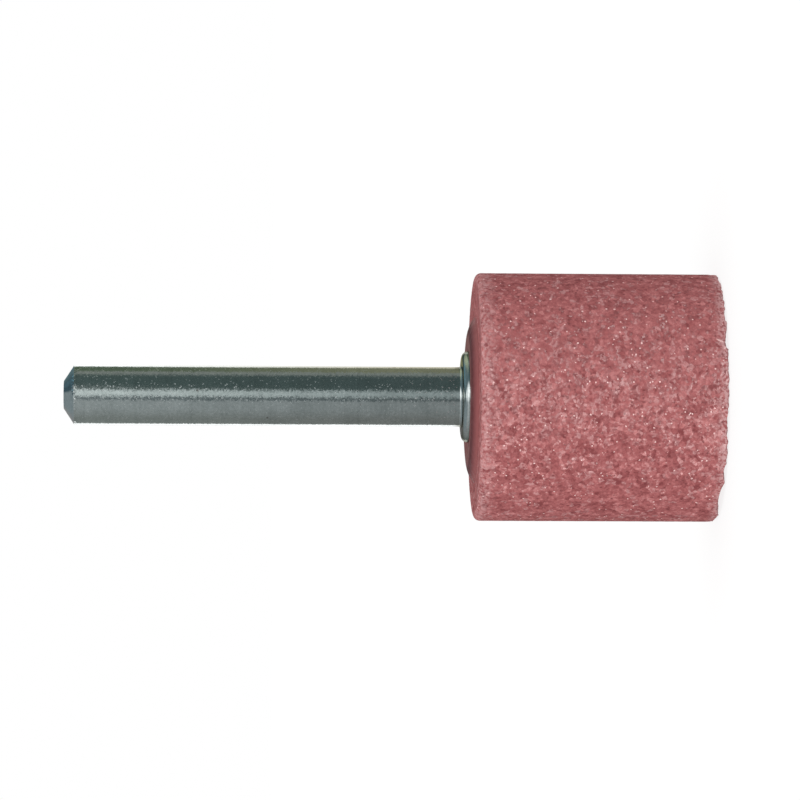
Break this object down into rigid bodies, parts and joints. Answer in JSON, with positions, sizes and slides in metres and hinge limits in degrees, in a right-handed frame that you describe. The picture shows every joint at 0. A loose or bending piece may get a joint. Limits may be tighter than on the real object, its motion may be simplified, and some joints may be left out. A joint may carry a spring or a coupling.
{
  "type": "mounted point",
  "caption": "Cylindrical pink abrasive wheel cemented to a collared steel shank with a chamfered tip, for grinding with a handheld rotary tool.",
  "frame": {"origin": "centre of the wheel's free face, on which the part stands", "axes": "+Z along the axis from the wheel towards the tip of the shank; -Y is the side that carries the notch of the free rim at its right"},
  "size_m": [0.025, 0.025, 0.0658],
  "materials": {
    "zinc_plated_steel": "bright zinc plate with a fine sparkle",
    "pink_abrasive": "coarse pink grains in a fired bond, rough",
    "red_cement": "smooth cured cement, half gloss"
  },
  "bodies": {
    "root": {"shank": "zinc_plated_steel", "abrasive_wheel": "pink_abrasive", "bonding_cement": "red_cement"}
  },
  "joints": []
}
